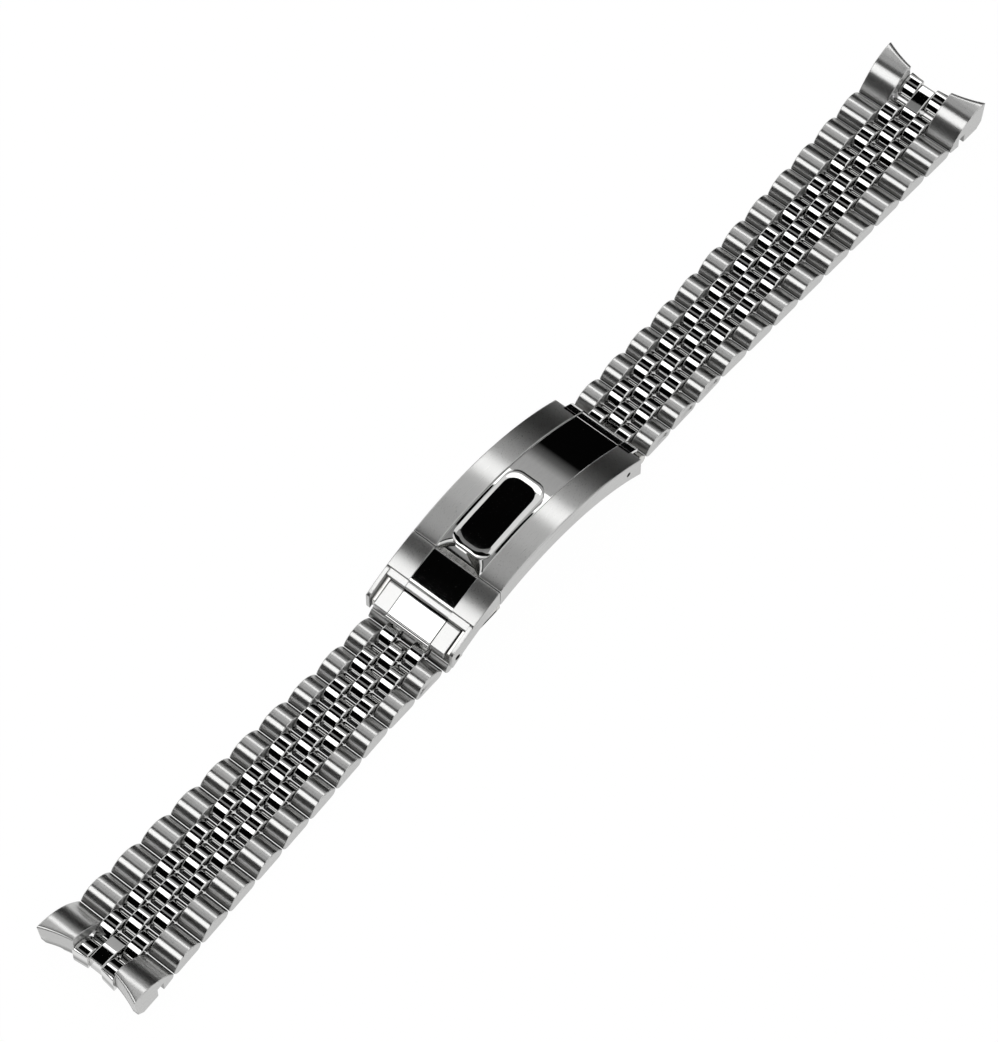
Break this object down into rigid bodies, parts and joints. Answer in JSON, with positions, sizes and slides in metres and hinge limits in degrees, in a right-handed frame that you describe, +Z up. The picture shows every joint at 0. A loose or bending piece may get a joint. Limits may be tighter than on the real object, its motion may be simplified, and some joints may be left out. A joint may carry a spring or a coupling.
{
  "type": "link watch bracelet",
  "caption": "Tapered five-row steel watch bracelet, laid open, with curved end links, an arched folding clasp, a flip-over safety catch and an extension slide.",
  "frame": {"origin": "bottom centre of the bounding box, on the surface that the bracelet lies on", "axes": "+X along the bracelet towards the long strand, +Y to the side, +Z up out of the polished top side"},
  "size_m": [0.2144, 0.02, 0.0125],
  "materials": {
    "brushed_steel": "satin brushed along the bracelet",
    "polished_steel": "mirror polished",
    "pin_steel": "turned"
  },
  "bodies": {
    "lower_leaf": {"lower_leaf": "brushed_steel", "lower_leaf_lug_pin": "pin_steel", "leaf_hinge_pin": "pin_steel"},
    "upper_leaf": {"upper_leaf": "brushed_steel"},
    "clasp_cover": {"clasp_cover": "brushed_steel", "cover_hinge_pin": "pin_steel", "catch_hinge_pins": "pin_steel", "latch_spring": "pin_steel"},
    "safety_catch": {"safety_catch": "brushed_steel"},
    "extension_slide": {"extension_slide": "brushed_steel", "slide_lug_pin": "pin_steel"},
    "long_beads_13": {"long_beads_13": "polished_steel"},
    "long_link_12": {"long_link_12": "brushed_steel"},
    "long_beads_12": {"long_beads_12": "polished_steel"},
    "long_link_11": {"long_link_11": "brushed_steel"},
    "long_beads_11": {"long_beads_11": "polished_steel"},
    "long_link_10": {"long_link_10": "brushed_steel"},
    "long_beads_10": {"long_beads_10": "polished_steel"},
    "long_link_09": {"long_link_09": "brushed_steel"},
    "long_beads_09": {"long_beads_09": "polished_steel"},
    "long_link_08": {"long_link_08": "brushed_steel"},
    "long_beads_08": {"long_beads_08": "polished_steel"},
    "long_link_07": {"long_link_07": "brushed_steel"},
    "long_beads_07": {"long_beads_07": "polished_steel"},
    "long_link_06": {"long_link_06": "brushed_steel"},
    "long_beads_06": {"long_beads_06": "polished_steel"},
    "long_link_05": {"long_link_05": "brushed_steel"},
    "long_beads_05": {"long_beads_05": "polished_steel"},
    "long_link_04": {"long_link_04": "brushed_steel"},
    "long_beads_04": {"long_beads_04": "polished_steel"},
    "long_link_03": {"long_link_03": "brushed_steel"},
    "long_beads_03": {"long_beads_03": "polished_steel"},
    "long_link_02": {"long_link_02": "brushed_steel"},
    "long_beads_02": {"long_beads_02": "polished_steel"},
    "long_link_01": {"long_link_01": "brushed_steel"},
    "long_beads_01": {"long_beads_01": "polished_steel"},
    "long_end_link": {"long_end_link": "brushed_steel"},
    "short_beads_11": {"short_beads_11": "polished_steel"},
    "short_link_10": {"short_link_10": "brushed_steel"},
    "short_beads_10": {"short_beads_10": "polished_steel"},
    "short_link_09": {"short_link_09": "brushed_steel"},
    "short_beads_09": {"short_beads_09": "polished_steel"},
    "short_link_08": {"short_link_08": "brushed_steel"},
    "short_beads_08": {"short_beads_08": "polished_steel"},
    "short_link_07": {"short_link_07": "brushed_steel"},
    "short_beads_07": {"short_beads_07": "polished_steel"},
    "short_link_06": {"short_link_06": "brushed_steel"},
    "short_beads_06": {"short_beads_06": "polished_steel"},
    "short_link_05": {"short_link_05": "brushed_steel"},
    "short_beads_05": {"short_beads_05": "polished_steel"},
    "short_link_04": {"short_link_04": "brushed_steel"},
    "short_beads_04": {"short_beads_04": "polished_steel"},
    "short_link_03": {"short_link_03": "brushed_steel"},
    "short_beads_03": {"short_beads_03": "polished_steel"},
    "short_link_02": {"short_link_02": "brushed_steel"},
    "short_beads_02": {"short_beads_02": "polished_steel"},
    "short_link_01": {"short_link_01": "brushed_steel"},
    "short_beads_01": {"short_beads_01": "polished_steel"},
    "short_end_link": {"short_end_link": "brushed_steel"}
  },
  "joints": [
    {"name": "leaf_fold", "type": "hinge", "parent": "lower_leaf", "child": "upper_leaf", "pos_m": [-0.0172, 0, 0.00898], "axis": [0, -1, 0], "range_deg": [0, 180]},
    {"name": "cover_swing", "type": "hinge", "parent": "upper_leaf", "child": "clasp_cover", "pos_m": [0.0126, 0, 0.00499], "axis": [0, 1, 0], "range_deg": [0, 180]},
    {"name": "catch_flip", "type": "hinge", "parent": "clasp_cover", "child": "safety_catch", "pos_m": [-0.0302, 0, 0.00451], "axis": [0, -1, 0], "range_deg": [0, 100]},
    {"name": "slide_extend", "type": "slide", "parent": "clasp_cover", "child": "extension_slide", "axis": [-1, 0, 0], "range_m": [0, 0.005]},
    {"name": "long_beads_13_pivot", "type": "hinge", "parent": "lower_leaf", "child": "long_beads_13", "pos_m": [0.01735, 0, 0.0015], "axis": [0, 1, 0], "range_deg": [-8, 25]},
    {"name": "long_link_12_pivot", "type": "hinge", "parent": "long_beads_13", "child": "long_link_12", "pos_m": [0.02065, 0, 0.0015], "axis": [0, -1, 0], "range_deg": [-25, 10]},
    {"name": "long_beads_12_pivot", "type": "hinge", "parent": "long_link_12", "child": "long_beads_12", "pos_m": [0.02395, 0, 0.0015], "axis": [0, 1, 0], "range_deg": [-10, 25]},
    {"name": "long_link_11_pivot", "type": "hinge", "parent": "long_beads_12", "child": "long_link_11", "pos_m": [0.02725, 0, 0.0015], "axis": [0, -1, 0], "range_deg": [-25, 10]},
    {"name": "long_beads_11_pivot", "type": "hinge", "parent": "long_link_11", "child": "long_beads_11", "pos_m": [0.03055, 0, 0.0015], "axis": [0, 1, 0], "range_deg": [-10, 25]},
    {"name": "long_link_10_pivot", "type": "hinge", "parent": "long_beads_11", "child": "long_link_10", "pos_m": [0.03385, 0, 0.0015], "axis": [0, -1, 0], "range_deg": [-25, 10]},
    {"name": "long_beads_10_pivot", "type": "hinge", "parent": "long_link_10", "child": "long_beads_10", "pos_m": [0.03715, 0, 0.0015], "axis": [0, 1, 0], "range_deg": [-10, 25]},
    {"name": "long_link_09_pivot", "type": "hinge", "parent": "long_beads_10", "child": "long_link_09", "pos_m": [0.04045, 0, 0.0015], "axis": [0, -1, 0], "range_deg": [-25, 10]},
    {"name": "long_beads_09_pivot", "type": "hinge", "parent": "long_link_09", "child": "long_beads_09", "pos_m": [0.04375, 0, 0.0015], "axis": [0, 1, 0], "range_deg": [-10, 25]},
    {"name": "long_link_08_pivot", "type": "hinge", "parent": "long_beads_09", "child": "long_link_08", "pos_m": [0.04705, 0, 0.0015], "axis": [0, -1, 0], "range_deg": [-25, 10]},
    {"name": "long_beads_08_pivot", "type": "hinge", "parent": "long_link_08", "child": "long_beads_08", "pos_m": [0.05035, 0, 0.0015], "axis": [0, 1, 0], "range_deg": [-10, 25]},
    {"name": "long_link_07_pivot", "type": "hinge", "parent": "long_beads_08", "child": "long_link_07", "pos_m": [0.05365, 0, 0.0015], "axis": [0, -1, 0], "range_deg": [-25, 10]},
    {"name": "long_beads_07_pivot", "type": "hinge", "parent": "long_link_07", "child": "long_beads_07", "pos_m": [0.05695, 0, 0.0015], "axis": [0, 1, 0], "range_deg": [-10, 25]},
    {"name": "long_link_06_pivot", "type": "hinge", "parent": "long_beads_07", "child": "long_link_06", "pos_m": [0.06025, 0, 0.0015], "axis": [0, -1, 0], "range_deg": [-25, 10]},
    {"name": "long_beads_06_pivot", "type": "hinge", "parent": "long_link_06", "child": "long_beads_06", "pos_m": [0.06355, 0, 0.0015], "axis": [0, 1, 0], "range_deg": [-10, 25]},
    {"name": "long_link_05_pivot", "type": "hinge", "parent": "long_beads_06", "child": "long_link_05", "pos_m": [0.06685, 0, 0.0015], "axis": [0, -1, 0], "range_deg": [-25, 10]},
    {"name": "long_beads_05_pivot", "type": "hinge", "parent": "long_link_05", "child": "long_beads_05", "pos_m": [0.07015, 0, 0.0015], "axis": [0, 1, 0], "range_deg": [-10, 25]},
    {"name": "long_link_04_pivot", "type": "hinge", "parent": "long_beads_05", "child": "long_link_04", "pos_m": [0.07345, 0, 0.0015], "axis": [0, -1, 0], "range_deg": [-25, 10]},
    {"name": "long_beads_04_pivot", "type": "hinge", "parent": "long_link_04", "child": "long_beads_04", "pos_m": [0.07675, 0, 0.0015], "axis": [0, 1, 0], "range_deg": [-10, 25]},
    {"name": "long_link_03_pivot", "type": "hinge", "parent": "long_beads_04", "child": "long_link_03", "pos_m": [0.08005, 0, 0.0015], "axis": [0, -1, 0], "range_deg": [-25, 10]},
    {"name": "long_beads_03_pivot", "type": "hinge", "parent": "long_link_03", "child": "long_beads_03", "pos_m": [0.08335, 0, 0.0015], "axis": [0, 1, 0], "range_deg": [-10, 25]},
    {"name": "long_link_02_pivot", "type": "hinge", "parent": "long_beads_03", "child": "long_link_02", "pos_m": [0.08665, 0, 0.0015], "axis": [0, -1, 0], "range_deg": [-25, 10]},
    {"name": "long_beads_02_pivot", "type": "hinge", "parent": "long_link_02", "child": "long_beads_02", "pos_m": [0.08995, 0, 0.0015], "axis": [0, 1, 0], "range_deg": [-10, 25]},
    {"name": "long_link_01_pivot", "type": "hinge", "parent": "long_beads_02", "child": "long_link_01", "pos_m": [0.09325, 0, 0.0015], "axis": [0, -1, 0], "range_deg": [-25, 10]},
    {"name": "long_beads_01_pivot", "type": "hinge", "parent": "long_link_01", "child": "long_beads_01", "pos_m": [0.09655, 0, 0.0015], "axis": [0, 1, 0], "range_deg": [-10, 25]},
    {"name": "long_end_link_pivot", "type": "hinge", "parent": "long_beads_01", "child": "long_end_link", "pos_m": [0.09985, 0, 0.0015], "axis": [0, -1, 0], "range_deg": [-25, 10]},
    {"name": "short_beads_11_pivot", "type": "hinge", "parent": "extension_slide", "child": "short_beads_11", "pos_m": [-0.03055, 0, 0.0015], "axis": [0, -1, 0], "range_deg": [-8, 25]},
    {"name": "short_link_10_pivot", "type": "hinge", "parent": "short_beads_11", "child": "short_link_10", "pos_m": [-0.03385, 0, 0.0015], "axis": [0, 1, 0], "range_deg": [-25, 10]},
    {"name": "short_beads_10_pivot", "type": "hinge", "parent": "short_link_10", "child": "short_beads_10", "pos_m": [-0.03715, 0, 0.0015], "axis": [0, -1, 0], "range_deg": [-10, 25]},
    {"name": "short_link_09_pivot", "type": "hinge", "parent": "short_beads_10", "child": "short_link_09", "pos_m": [-0.04045, 0, 0.0015], "axis": [0, 1, 0], "range_deg": [-25, 10]},
    {"name": "short_beads_09_pivot", "type": "hinge", "parent": "short_link_09", "child": "short_beads_09", "pos_m": [-0.04375, 0, 0.0015], "axis": [0, -1, 0], "range_deg": [-10, 25]},
    {"name": "short_link_08_pivot", "type": "hinge", "parent": "short_beads_09", "child": "short_link_08", "pos_m": [-0.04705, 0, 0.0015], "axis": [0, 1, 0], "range_deg": [-25, 10]},
    {"name": "short_beads_08_pivot", "type": "hinge", "parent": "short_link_08", "child": "short_beads_08", "pos_m": [-0.05035, 0, 0.0015], "axis": [0, -1, 0], "range_deg": [-10, 25]},
    {"name": "short_link_07_pivot", "type": "hinge", "parent": "short_beads_08", "child": "short_link_07", "pos_m": [-0.05365, 0, 0.0015], "axis": [0, 1, 0], "range_deg": [-25, 10]},
    {"name": "short_beads_07_pivot", "type": "hinge", "parent": "short_link_07", "child": "short_beads_07", "pos_m": [-0.05695, 0, 0.0015], "axis": [0, -1, 0], "range_deg": [-10, 25]},
    {"name": "short_link_06_pivot", "type": "hinge", "parent": "short_beads_07", "child": "short_link_06", "pos_m": [-0.06025, 0, 0.0015], "axis": [0, 1, 0], "range_deg": [-25, 10]},
    {"name": "short_beads_06_pivot", "type": "hinge", "parent": "short_link_06", "child": "short_beads_06", "pos_m": [-0.06355, 0, 0.0015], "axis": [0, -1, 0], "range_deg": [-10, 25]},
    {"name": "short_link_05_pivot", "type": "hinge", "parent": "short_beads_06", "child": "short_link_05", "pos_m": [-0.06685, 0, 0.0015], "axis": [0, 1, 0], "range_deg": [-25, 10]},
    {"name": "short_beads_05_pivot", "type": "hinge", "parent": "short_link_05", "child": "short_beads_05", "pos_m": [-0.07015, 0, 0.0015], "axis": [0, -1, 0], "range_deg": [-10, 25]},
    {"name": "short_link_04_pivot", "type": "hinge", "parent": "short_beads_05", "child": "short_link_04", "pos_m": [-0.07345, 0, 0.0015], "axis": [0, 1, 0], "range_deg": [-25, 10]},
    {"name": "short_beads_04_pivot", "type": "hinge", "parent": "short_link_04", "child": "short_beads_04", "pos_m": [-0.07675, 0, 0.0015], "axis": [0, -1, 0], "range_deg": [-10, 25]},
    {"name": "short_link_03_pivot", "type": "hinge", "parent": "short_beads_04", "child": "short_link_03", "pos_m": [-0.08005, 0, 0.0015], "axis": [0, 1, 0], "range_deg": [-25, 10]},
    {"name": "short_beads_03_pivot", "type": "hinge", "parent": "short_link_03", "child": "short_beads_03", "pos_m": [-0.08335, 0, 0.0015], "axis": [0, -1, 0], "range_deg": [-10, 25]},
    {"name": "short_link_02_pivot", "type": "hinge", "parent": "short_beads_03", "child": "short_link_02", "pos_m": [-0.08665, 0, 0.0015], "axis": [0, 1, 0], "range_deg": [-25, 10]},
    {"name": "short_beads_02_pivot", "type": "hinge", "parent": "short_link_02", "child": "short_beads_02", "pos_m": [-0.08995, 0, 0.0015], "axis": [0, -1, 0], "range_deg": [-10, 25]},
    {"name": "short_link_01_pivot", "type": "hinge", "parent": "short_beads_02", "child": "short_link_01", "pos_m": [-0.09325, 0, 0.0015], "axis": [0, 1, 0], "range_deg": [-25, 10]},
    {"name": "short_beads_01_pivot", "type": "hinge", "parent": "short_link_01", "child": "short_beads_01", "pos_m": [-0.09655, 0, 0.0015], "axis": [0, -1, 0], "range_deg": [-10, 25]},
    {"name": "short_end_link_pivot", "type": "hinge", "parent": "short_beads_01", "child": "short_end_link", "pos_m": [-0.09985, 0, 0.0015], "axis": [0, 1, 0], "range_deg": [-25, 10]}
  ],
  "couplings": [
    {"joint": "cover_swing", "follows": "leaf_fold", "ratio": 1}
  ]
}
